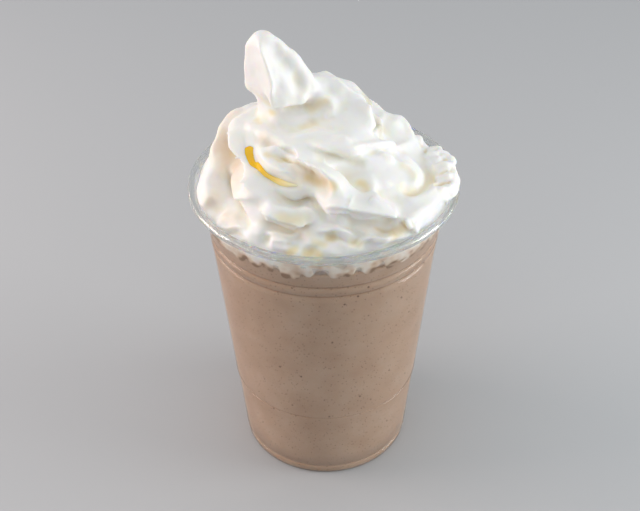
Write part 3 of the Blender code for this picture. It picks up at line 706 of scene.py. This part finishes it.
def swirl_folds():
    """The folds of the swirl, from the heap inside it up to the peak."""
    keen = {"crests": "keen"}
    return [
        # the heap that the folds lie on
        fold([(1, 0, 96, 41, 41), (1, 0, 109, 41, 40), (0, -1, 117, 37.5, 36.5),
              (-3, -2, 126.5, 27, 26), (-6, 0, 136, 18.5, 17.5), (-9, 1, 146, 8, 8)],
             up=(0, 1, 0), ends=(0.3, 1.0)),
        # the lower turn, from the back round the left to the front
        fold([(14, 25, 122, 12, 10), (-4, 27.5, 126.5, 12, 11), (-19, 18.5, 130, 12, 11),
              (-23, 0.5, 130, 12, 11), (-16, -16, 128.5, 10.5, 10.5), (0.5, -23.5, 124.5, 10, 9.5),
              (18, -22, 120, 10, 9)],
             teeth=6, depth=0.15, twist=0.3, along=160),
        # its thin outer edge, which stands clear of the lip with a hollow between them
        fold([(-22, 16.5, 138, 5, 5), (-28.5, 9, 138.5, 5, 5.5), (-33.5, 2, 134.5, 5, 6),
              (-37, -3.5, 127.5, 5, 6), (-40, -11.5, 123, 5, 6), (-37.5, -20, 119, 5, 6)],
             teeth=5, depth=0.14, twist=0.5, **keen),
        # the broad lip that sweeps from the left to the front
        fold([(-19.5, 12, 141, 5, 5), (-25.5, 0.5, 141, 5, 5.5), (-27.5, -11.5, 137.5, 5.5, 7),
              (-24.5, -23, 133.5, 6, 8), (-16.5, -31, 128, 7.5, 9), (-5, -33.5, 123.5, 8, 8.5),
              (7, -31.5, 120, 7, 7)],
             teeth=4, depth=0.2, twist=0.1, phase=0.35, along=140, **keen),
        # the narrow ridge beside the lip
        fold([(-17.5, -4, 143.5, 3, 3), (-19.5, -13.5, 142.5, 3.5, 4), (-17, -22.5, 141.5, 3, 4),
              (-10.5, -29, 138.5, 3, 4), (-2, -32, 135.5, 2.5, 3)], around=32),
        # the right-hand fold: its left edge, its top edge, and the body that both lie on
        fold([(-8, -19, 142, 4, 5), (-1, -28, 138.5, 5.5, 7.5), (7, -32.5, 132, 7, 9),
              (16.5, -32.5, 125.5, 8, 9), (25.5, -26, 122, 8, 8)],
             teeth=4, depth=0.2, twist=0.1, phase=0.5, **keen),
        fold([(-9, -18, 141, 4, 5), (2.5, -16.5, 140.5, 7, 8), (14, -13, 137, 8, 8),
              (23.5, -10.5, 130.5, 8, 8), (32.5, -13, 123, 7, 7)], teeth=5, depth=0.2, twist=-0.4, **keen),
        fold([(6, -18, 134, 9, 7), (16, -17, 130, 12, 9), (26, -13, 125, 12, 10), (34, -8, 120, 9, 8)],
             teeth=4, depth=0.12, twist=0.4),
        # the thin wavy lip along its lower edge
        fold([(0.5, -35.5, 131.5, 3, 2.5), (11, -37.5, 129.5, 5, 3.5), (21.5, -37.5, 125.5, 5.5, 4.5),
              (30, -30, 125.5, 6, 5), (35, -21, 123.5, 6, 6), (38, -11, 122, 6, 6)],
             teeth=4, depth=0.2, twist=0.4, **keen),
        # the lobe at the back right, and the ruffle beside the rim
        fold([(20.5, 9, 132, 5, 5), (25.5, 14.5, 130.5, 6, 7), (30, 8.5, 125.5, 6, 7),
              (34, 1.5, 121, 6, 7)],
             teeth=5, depth=0.2, twist=0.6, **keen),
        fold([(36.5, 6.5, 123.5, 4, 4), (39.5, 0, 125, 5, 5), (42.5, -5.5, 125.5, 5.5, 5.5),
              (44, -9, 123, 5, 5), (41.5, -16.5, 121, 5, 5)], teeth=8, depth=0.34, twist=1.2, **keen),
        # the turns at the back, lower and upper
        fold([(20, 22, 121, 10, 10), (6, 28, 123, 11, 10), (-10, 28, 126, 12, 11),
              (-24, 19, 126, 11, 10)],
             teeth=6, depth=0.2, twist=0.4),
        fold([(24, 8, 127.5, 7, 7), (14, 18, 133, 9, 8), (0, 21, 138, 10, 9), (-12, 15, 142, 9, 9),
              (-17, 6, 147, 8, 8)], teeth=5, depth=0.2, twist=0.4, **keen),
        # the filled middle behind the crossing of the two front folds
        fold([(-15, -17, 137, 6, 6), (-9, -21, 137.5, 7, 6.5), (-2, -24, 135, 7, 6)]),
        # the upper turn, its soft front, and the fold under the peak
        fold([(16, 1, 132, 8, 8), (12, 4, 141, 8.5, 8.5), (5, 5, 148, 9, 9), (-3, 4, 151, 9, 9),
              (-11, 2, 153, 9, 9)], teeth=5, depth=0.14, twist=0.5, phase=0.5),
        fold([(-0.5, 2.5, 148, 5, 6), (7, -4, 143.5, 6.5, 7.5), (13, -11, 138, 7, 8)]),
        fold([(12, -10, 137, 8, 7), (-2, -11, 140, 10, 8), (-14, -7, 140, 10, 8), (-23, 1, 141, 8, 7)],
             teeth=6, depth=0.2, twist=0.4),
        # the peak's broad foot behind, where the last cream was laid down before the nozzle was lifted
        fold([(-10, 9, 140, 9, 9), (-12, 7, 149, 9, 9), (-14, 4, 158, 8, 8), (-16, 1, 165, 5, 6)],
             up=(0, 1, 0)),
    ]


def evaluated(obj):
    """Puts an object's modifiers into its mesh."""
    graph = bpy.context.evaluated_depsgraph_get()
    mesh = bpy.data.meshes.new_from_object(obj.evaluated_get(graph))
    obj.modifiers.clear()
    obj.data = mesh


def joined(name, pieces):
    """Joins closed pieces that run into each other into one softened body by a voxel remesh."""
    vertices, faces, base = [], [], 0
    for piece_vertices, piece_faces in pieces:
        vertices.append(piece_vertices)
        faces += [[base + i for i in face] for face in piece_faces]
        base += len(piece_vertices)
    obj = mesh_piece(name, np.vstack(vertices), faces, cream_mat)
    remesh = obj.modifiers.new("Join", "REMESH")
    remesh.mode = "VOXEL"
    remesh.voxel_size = CREAM_VOXEL * MM
    remesh.use_smooth_shade = True
    soften = obj.modifiers.new("Soften", "SMOOTH")
    soften.iterations = CREAM_SMOOTHINGS
    evaluated(obj)
    return obj


def wrinkles(place):
    """Small uneven relief in mm, drawn out round the cup as the folds are, coarse and fine together.

    The back, where no edge is pressed in, also has sharp ridges where a noise passes through zero.
    """
    radius = np.hypot(place[:, 0], place[:, 1])
    turn = np.arctan2(place[:, 1], place[:, 0])
    along = np.stack([radius, 0.35 * radius * turn, place[:, 2]], axis=1)
    rising = place[:, 2] + 9.0 * turn
    back = np.clip((place[:, 1] - 3.0) / 14.0, 0.0, 1.0) * np.clip((place[:, 2] - 121.0) / 4.0, 0.0, 1.0)
    drawn_out = np.stack([radius, 0.2 * radius * turn, rising], axis=1)
    ridge = (1.0 - np.abs(smooth_noise(drawn_out, 8.0, 24))) ** 4
    return (WRINKLE_COARSE * smooth_noise(along, 4.5, 21) + WRINKLE_FINE * smooth_noise(along, 2.0, 22)
            + 0.5 * WRINKLE_FINE * smooth_noise(place, 1.6, 23) + BACK_RIDGES * back * ridge)


def read_edges(mesh):
    """Each edge's two vertex numbers."""
    edges = np.empty(len(mesh.edges) * 2, dtype=np.int64)
    mesh.edges.foreach_get("vertices", edges)
    return edges.reshape(-1, 2)


def read_places(mesh):
    """The mesh's vertices in millimetres."""
    place = np.empty(len(mesh.vertices) * 3)
    mesh.vertices.foreach_get("co", place)
    return place.reshape(-1, 3) / MM


def read_normals(mesh):
    """The outward direction at each of the mesh's vertices."""
    normal = np.empty(len(mesh.vertices) * 3)
    mesh.vertices.foreach_get("normal", normal)
    return normal.reshape(-1, 3)


def write_places(mesh, place):
    """Puts vertices in millimetres back into the mesh."""
    mesh.vertices.foreach_set("co", (place * MM).ravel())
    mesh.update()


def keep_inside_cup(place):
    """Pulls points in to the cup's wall, which they may just reach into, and lets them over the rim."""
    within = (0.0, CREAM_BOTTOM, FLARE_START, COLLAR_TOP)
    heights = np.array([*within, CUP_HEIGHT + 0.3, CUP_HEIGHT + 2.0, 400.0])
    limits = np.array([inner_radius(h) + CREAM_IN_WALL for h in within] + [RIM_INSIDE, OVER_RIM, OVER_RIM])
    limit = np.interp(place[:, 2], heights, limits)
    radius = np.hypot(place[:, 0], place[:, 1])
    place[:, :2] *= np.minimum(1.0, limit / np.maximum(radius, 1.0))[:, None]
    return place


def neighbour_mean(values, edges, count):
    """The mean over each vertex's neighbours, by summing along every edge both ways."""
    total = np.zeros_like(values)
    both = np.concatenate([edges, edges[:, ::-1]])
    degree = np.bincount(both[:, 0], minlength=count)
    for k in range(values.shape[1]):
        total[:, k] = np.bincount(both[:, 0], weights=values[both[:, 1], k], minlength=count)
    return total / np.maximum(degree, 1)[:, None]


def soften_creases(place, normal, edges, rounds):
    """Fills creases, as soft cream does: points in hollows move out to their neighbours' mean."""
    for _ in range(rounds):
        move = neighbour_mean(place, edges, len(place)) - place
        outward = np.einsum("ij,ij->i", move, normal) > 0.0
        place = place + move * outward[:, None]
    return place


def boxed(place, points, reach):
    """Which places lie in the upright box that reaches this far past the points."""
    return ((place > points.min(axis=0) - reach) & (place < points.max(axis=0) + reach)).all(axis=1)


def nearest_points(place, points, within=15.0):
    """For each of a few points, the number of the nearest of many places, compared with all close ones."""
    close = np.flatnonzero(boxed(place, points, within))
    apart = ((points[:, None, :] - place[close][None, :, :]) ** 2).sum(axis=2)
    return close[apart.argmin(axis=1)]


def press_relief(place, mesh, marks):
    """Raises sharp crests and hanging lips, and presses hollows, along short curves on the surface.

    A point at distance d from a curve rises by height times (1 - d / reach), blunted at the top, to the power
    CREST_POWER, or sinks by depth times (1 - (d / reach) squared) squared in a hollow. The reach differs on
    the two sides of a crest, and a lip leans to its short, steep side, on the right hand along the curve.
    """
    plain = place.copy()
    normals = read_normals(mesh)
    for kind, height, far, near, lean, points in marks:
        line = smooth_path(points, MARK_STEPS)
        found = nearest_points(plain, line)
        path = plain[found]
        upward = normals[found]
        for _ in range(MARK_SOFTENINGS):
            upward[1:-1] = (upward[:-2] + upward[1:-1] + upward[2:]) / 3.0
            path[1:-1] = (path[:-2] + path[1:-1] + path[2:]) / 3.0
        upward = unit(upward)
        sideways = unit(np.cross(np.gradient(line, axis=0), upward))
        path -= LIP_SET_BACK * lean * height * sideways
        chosen = np.flatnonzero(boxed(place, path, max(far, near)))
        offset = place[chosen][:, None, :] - path[None, :, :]
        step = (offset ** 2).sum(axis=2).argmin(axis=1)
        offset = offset[np.arange(len(chosen)), step]
        level = upward[step]
        offset -= (offset * level).sum(axis=1)[:, None] * level
        side = (offset * sideways[step]).sum(axis=1)
        share = np.linalg.norm(offset, axis=1) / np.where(side > 0.0, near, far)
        inside = share < 1.0
        chosen, step, share, level = chosen[inside], step[inside], share[inside], level[inside]
        taper = np.clip(np.minimum(step, MARK_STEPS - 1 - step) / MARK_END_STEPS, 0.0, 1.0)
        if kind == "hollow":
            place[chosen] -= level * (height * taper * (1.0 - share ** 2) ** 2)[:, None]
        else:
            blunt = np.sqrt(share ** 2 + CREST_BLUNT ** 2) - CREST_BLUNT
            blunt /= math.hypot(1.0, CREST_BLUNT) - CREST_BLUNT
            rise = (height * taper * (1.0 - blunt) ** CREST_POWER)[:, None]
            place[chosen] += rise * (level + lean * sideways[step])
    return place


def hollowness(place, normal, edges, rounds):
    """How far a smoothed copy of the surface stands outside the surface: above zero in hollows, in mm."""
    smooth = place.copy()
    for _ in range(rounds):
        smooth = neighbour_mean(smooth, edges, len(place))
    return np.einsum("ij,ij->i", smooth - place, normal)


def soaked(place, stains):
    """How strongly each point is coloured: each stain's strength, falling to nothing at its reach."""
    total = np.zeros(len(place))
    for strength, reach, points in stains:
        path = smooth_path(points, 14)
        box = boxed(place, path, reach)
        apart = np.linalg.norm(place[box][:, None, :] - path[None, :, :], axis=2).min(axis=1)
        total[box] = np.maximum(total[box], strength * np.clip(1.25 - 1.25 * apart / reach, 0.0, 1.0))
    return total


def add_attribute(mesh, name, values):
    """Stores one number for each vertex under a name that a material can read."""
    layer = mesh.attributes.new(name, "FLOAT", "POINT")
    layer.data.foreach_set("value", np.asarray(values, dtype=np.float32))


# whipped cream: a fine foam of fat and air, white where light leaves it at once; where folds close over, a
# painted shade, warm, yellowish and darker, stands for the light passed on through it; the surface is matt
# with a faint wet sheen
cream_mat, tree = new_material("whipped_cream")
coords = add_node(tree, "TexCoord")
hollow = add_node(tree, "Attribute", {"attribute_name": "hollow"})
# painted shade by hollowness: white on open surfaces, warm and darker in hollows and deep creases
tint = add_node(tree, "ValToRGB", links={"Fac": (hollow, "Fac")})
set_ramp(tint, [(0.0, CREAM_LIGHT), (0.25, CREAM_LIGHT), (0.6, CREAM_HOLLOW_SHADE), (1.0, CREAM_DEEP_SHADE)])
colour = (tint, 0)
# painted brownish and greyish shade, then soaked syrup, laid over the cream's colour
for layer, shade in (("tan", CREAM_TAN_SHADE), ("shade", CREAM_SHADE), ("syrup", SYRUP_SOAKED)):
    amount = add_node(tree, "Attribute", {"attribute_name": layer})
    colour = tinted(tree, colour, (amount, "Fac"), shade)
stirred = add_node(tree, "Attribute", {"attribute_name": "mixed"})
stirred_tint = add_node(tree, "ValToRGB", links={"Fac": (stirred, "Fac")})
# the ramp's last stop is painted shade in the gaps between cream and wall
set_ramp(stirred_tint, [(0.0, CREAM_LIGHT), (0.45, MIXED_PALE), (0.8, MIXED_TAUPE), (1.0, MIXED_GAP_SHADE)])
colour = (add_node(tree, "Mix", {"data_type": "RGBA", "blend_type": "MULTIPLY", 0: 1.0},
                   {6: colour, 7: (stirred_tint, 0)}), 2)
foam = add_node(tree, "TexNoise", {"Scale": 1000.0 / 0.8, "Detail": 2.0}, {"Vector": (coords, "Object")})
bump = add_node(tree, "Bump", {"Strength": 0.12, "Distance": 0.0003}, {"Height": (foam, "Fac")})
end_material(tree, {"Roughness": 0.42, "IOR": 1.38, "Subsurface Weight": 0.9, "Subsurface Scale": 0.0018,
                    "Subsurface Radius": (1.0, 0.8, 0.55)}, {"Base Color": colour, "Normal": (bump, 0)})

cream = joined("cream_heap", [rim_ring(), peak()] + swirl_folds())
edges = read_edges(cream.data)
place = soften_creases(read_places(cream.data), read_normals(cream.data), edges, CREASE_ROUNDS)
write_places(cream.data, place)
place = press_relief(place, cream.data, RELIEF)
for _ in range(HEAP_SOFTENINGS):
    place = 0.5 * place + 0.5 * neighbour_mean(place, edges, len(place))
heap = (place, [list(p.vertices) for p in cream.data.polygons])
bpy.data.objects.remove(cream)
cream = joined("cream_swirl", [heap] + frills() + skirt())
place = read_places(cream.data)
edges = read_edges(cream.data)
place = soften_creases(place, read_normals(cream.data), edges, LATE_CREASE_ROUNDS)
write_places(cream.data, place)
place = press_relief(place, cream.data, LATE_RELIEF)
smoothing = 0.5 * soaked(place, SMOOTHED)[:, None]
for _ in range(SMOOTHED_ROUNDS):
    place += smoothing * (neighbour_mean(place, edges, len(place)) - place)
write_places(cream.data, place)
place += read_normals(cream.data) * wrinkles(place)[:, None]
place = keep_inside_cup(place)
place[:, 2] = np.maximum(place[:, 2], CREAM_BOTTOM)
write_places(cream.data, place)
normal = read_normals(cream.data)
# painted shade: how far each point lies in a hollow sets its warm, darker tint
fine = FINE_SHADE_WEIGHT * hollowness(place, normal, edges, FINE_ROUNDS)
broad = BROAD_SHADE_WEIGHT * hollowness(place, normal, edges, BROAD_ROUNDS)
add_attribute(cream.data, "hollow", np.clip(HOLLOW_SHADE_BASE + fine + broad, 0.0, 1.0))
add_attribute(cream.data, "syrup", soaked(place, STAINS))
# painted warm shade in shaded hollows and under lips
add_attribute(cream.data, "tan", soaked(place, PAINTED_TAN_SHADE))
add_attribute(cream.data, "shade", soaked(place, SHADED))
# darker towards the bottom at the wall: drink stirred in, and painted shade in the gaps at the last
low = (MIXED_TOP - place[:, 2]) / MIXED_BAND
patches = smooth_noise(place, 3.4, 31) + 0.6 * smooth_noise(place, 1.5, 32)
at_wall = np.clip((np.hypot(place[:, 0], place[:, 1]) - MIXED_INSIDE) / 3.0, 0.0, 1.0)
add_attribute(cream.data, "mixed", np.clip(low + MIXED_PATCHES * patches, 0.0, 1.0) * at_wall)
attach(cream, "root")
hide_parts("whipped_cream")

# The syrup. A little yellow fruit syrup caught in a fold of the cream: thick and glossy where it fell, and
# thinning to a pale film as it ran down the fold.

SYRUP_PATH = [(-25, -15, 144), (-25, -17, 142.5), (-24, -20, 141), (-21.5, -23, 140.5), (-19, -26, 139.5),
              (-16, -27.5, 138.5), (-12, -30, 138.5), (-8, -31, 138.5)]
SYRUP_HALF_WIDTHS = (1.5, 1.4, 1.1, 1.0, 1.0, 1.1, 1.0, 0.8)
SYRUP_THICKNESS = 0.35
SYRUP_SUNK = 0.35
SYRUP_LIFT = 0.06
SYRUP_WAVER = 0.12
# the shares of its length over which the streak starts and ends
SYRUP_START = 0.03
SYRUP_END = 0.12
SYRUP_DEEP = "#fcc417"
SYRUP_MID = "#f9d56a"
SYRUP_FILM = "#f9edcb"


def syrup_streak():
    """A lens-shaped film: a strip along the path, laid on the nearest cream and raised in its middle.

    At v across the strip from -1 to 1, the top stands thickness times (1 - v squared) over the cream, and the
    underside lies sunk below it by the same rule.
    """
    path = smooth_path([(*p, w) for p, w in zip(SYRUP_PATH, SYRUP_HALF_WIDTHS)], 72)
    tangent = np.gradient(path[:, :3], axis=0)
    found = nearest_points(place, path[:, :3])
    side = unit(np.cross(tangent, normal[found]))
    run = np.linspace(0.0, 1.0, len(path))[:, None]
    across = np.linspace(-1.0, 1.0, 15)
    ends = np.sqrt(np.clip(np.minimum(run / SYRUP_START, (1.0 - run) / SYRUP_END), 0.0, 1.0))
    half = path[:, 3:4] * ends * (1.0 + SYRUP_WAVER * np.sin(19.0 * run))
    strip = path[:, None, :3] + (half * across)[..., None] * side[:, None, :]
    flat = strip.reshape(-1, 3)
    found = nearest_points(place, flat)
    level = normal[found]
    on_cream = flat - ((flat - place[found]) * level).sum(axis=1)[:, None] * level
    crown = (ends * (1.0 - across ** 2)).reshape(-1, 1)
    top = on_cream + level * (SYRUP_LIFT + SYRUP_THICKNESS * crown)
    under = on_cream - level * (SYRUP_SUNK * (0.2 + crown))
    rows, columns = strip.shape[:2]
    index = np.arange(rows * columns).reshape(rows, columns)
    lid = np.stack([index[:-1, :-1], index[1:, :-1], index[1:, 1:], index[:-1, 1:]], axis=-1).reshape(-1, 4)
    loop = np.concatenate([index[0, :-1], index[:-1, -1], index[-1, :0:-1], index[:0:-1, 0]])
    after = np.roll(loop, -1)
    bottom = rows * columns
    wall = np.stack([loop, after, after + bottom, loop + bottom], axis=-1)
    faces = np.vstack([lid[:, ::-1], lid + bottom, wall])
    return np.vstack([top, under]), faces.tolist(), np.tile(np.repeat(run[:, 0], columns), 2)


# yellow fruit syrup: sugary and clear, so it shines, and it is deep yellow only where it lies thick
syrup_mat, tree = new_material("fruit_syrup")
thinning = add_node(tree, "Attribute", {"attribute_name": "run"})
colour = add_node(tree, "ValToRGB", links={"Fac": (thinning, "Fac")})
set_ramp(colour, [(0.0, SYRUP_DEEP), (0.42, SYRUP_DEEP), (0.62, SYRUP_MID), (1.0, SYRUP_FILM)])
end_material(tree, {"Roughness": 0.16, "IOR": 1.44, "Subsurface Weight": 0.3, "Subsurface Scale": 0.001},
             {"Base Color": (colour, 0)})

vertices, faces, run = syrup_streak()
syrup = mesh_piece("syrup_streak", vertices, faces, syrup_mat)
add_attribute(syrup.data, "run", run)
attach(syrup, "root")

# The stage: a plain pale floor, soft lamps as in a small studio, and the camera where the photograph's was,
# looking down on the cup at about forty degrees through a long lens.

FLOOR_HALF = 6.0
FLOOR_PALE = "#bcbec0"
CAMERA_DISTANCE = 0.4536
CAMERA_ELEVATION = math.radians(40.25)
AIM_HEIGHT = 0.06
AIM_RIGHT = -0.0039
AIM_UP = 0.0442
CAMERA_ROLL = math.radians(-0.7176)
FOCAL_PIXELS = 1154.4
PHOTO_WIDTH = 640
SENSOR_WIDTH = 36.0

floor_mat, tree = new_material("matt_paper_floor")
end_material(tree, {"Base Color": linear(FLOOR_PALE), "Roughness": 0.8})
h = FLOOR_HALF / MM
corners = [(-h, -h, 0.0), (h, -h, 0.0), (h, h, 0.0), (-h, h, 0.0)]
floor = mesh_piece("floor", corners, [[0, 1, 2, 3]], floor_mat)

forward = np.array([0.0, math.cos(CAMERA_ELEVATION), -math.sin(CAMERA_ELEVATION)])
right = np.array([1.0, 0.0, 0.0])
eye = np.array([0.0, 0.0, AIM_HEIGHT]) - CAMERA_DISTANCE * forward
forward = unit(forward + AIM_RIGHT * right + AIM_UP * np.cross(right, forward))
right = unit(np.cross(forward, (0.0, 0.0, 1.0)))
upward = np.cross(right, forward)
rolled_right = math.cos(CAMERA_ROLL) * right + math.sin(CAMERA_ROLL) * upward
rolled_up = -math.sin(CAMERA_ROLL) * right + math.cos(CAMERA_ROLL) * upward
camera_data = bpy.data.cameras.new("camera")
camera_data.sensor_width = SENSOR_WIDTH
camera_data.lens = FOCAL_PIXELS * SENSOR_WIDTH / PHOTO_WIDTH
camera_data.clip_start = 0.02
camera = bpy.data.objects.new("camera", camera_data)
bpy.context.scene.collection.objects.link(camera)
turn = Matrix((rolled_right, rolled_up, -forward)).transposed()
camera.matrix_world = Matrix.Translation(Vector(eye)) @ turn.to_4x4()
bpy.context.scene.camera = camera


def soft_lamp(name, place, size, watts, colour):
    """A square area lamp that faces the cup."""
    data = bpy.data.lights.new(name, "AREA")
    data.size = size
    data.energy = watts
    data.color = linear(colour)[:3]
    lamp = bpy.data.objects.new(name, data)
    bpy.context.scene.collection.objects.link(lamp)
    aim = (Vector((0.0, 0.0, 0.1)) - Vector(place)).to_track_quat("-Z", "Y").to_matrix().to_4x4()
    lamp.matrix_world = Matrix.Translation(place) @ aim


soft_lamp("key_right", (0.75, -0.1, 0.26), 0.4, 2.1, "#fffdf8")
soft_lamp("low_right", (0.5, -0.06, 0.06), 0.2, 0.75, "#f4f8ff")
soft_lamp("fill_left", (-0.76, 0.06, 0.26), 0.45, 3.8, "#ffeae2")
soft_lamp("overhead", (-0.08, -0.22, 1.1), 0.9, 1.6, "#fffefb")

world = bpy.data.worlds.new("studio")
world.use_nodes = True
background = world.node_tree.nodes["Background"]
background.inputs["Color"].default_value = linear("#e6e9ec")
background.inputs["Strength"].default_value = 0.72
bpy.context.scene.world = world
bpy.context.scene.view_settings.view_transform = "Standard"
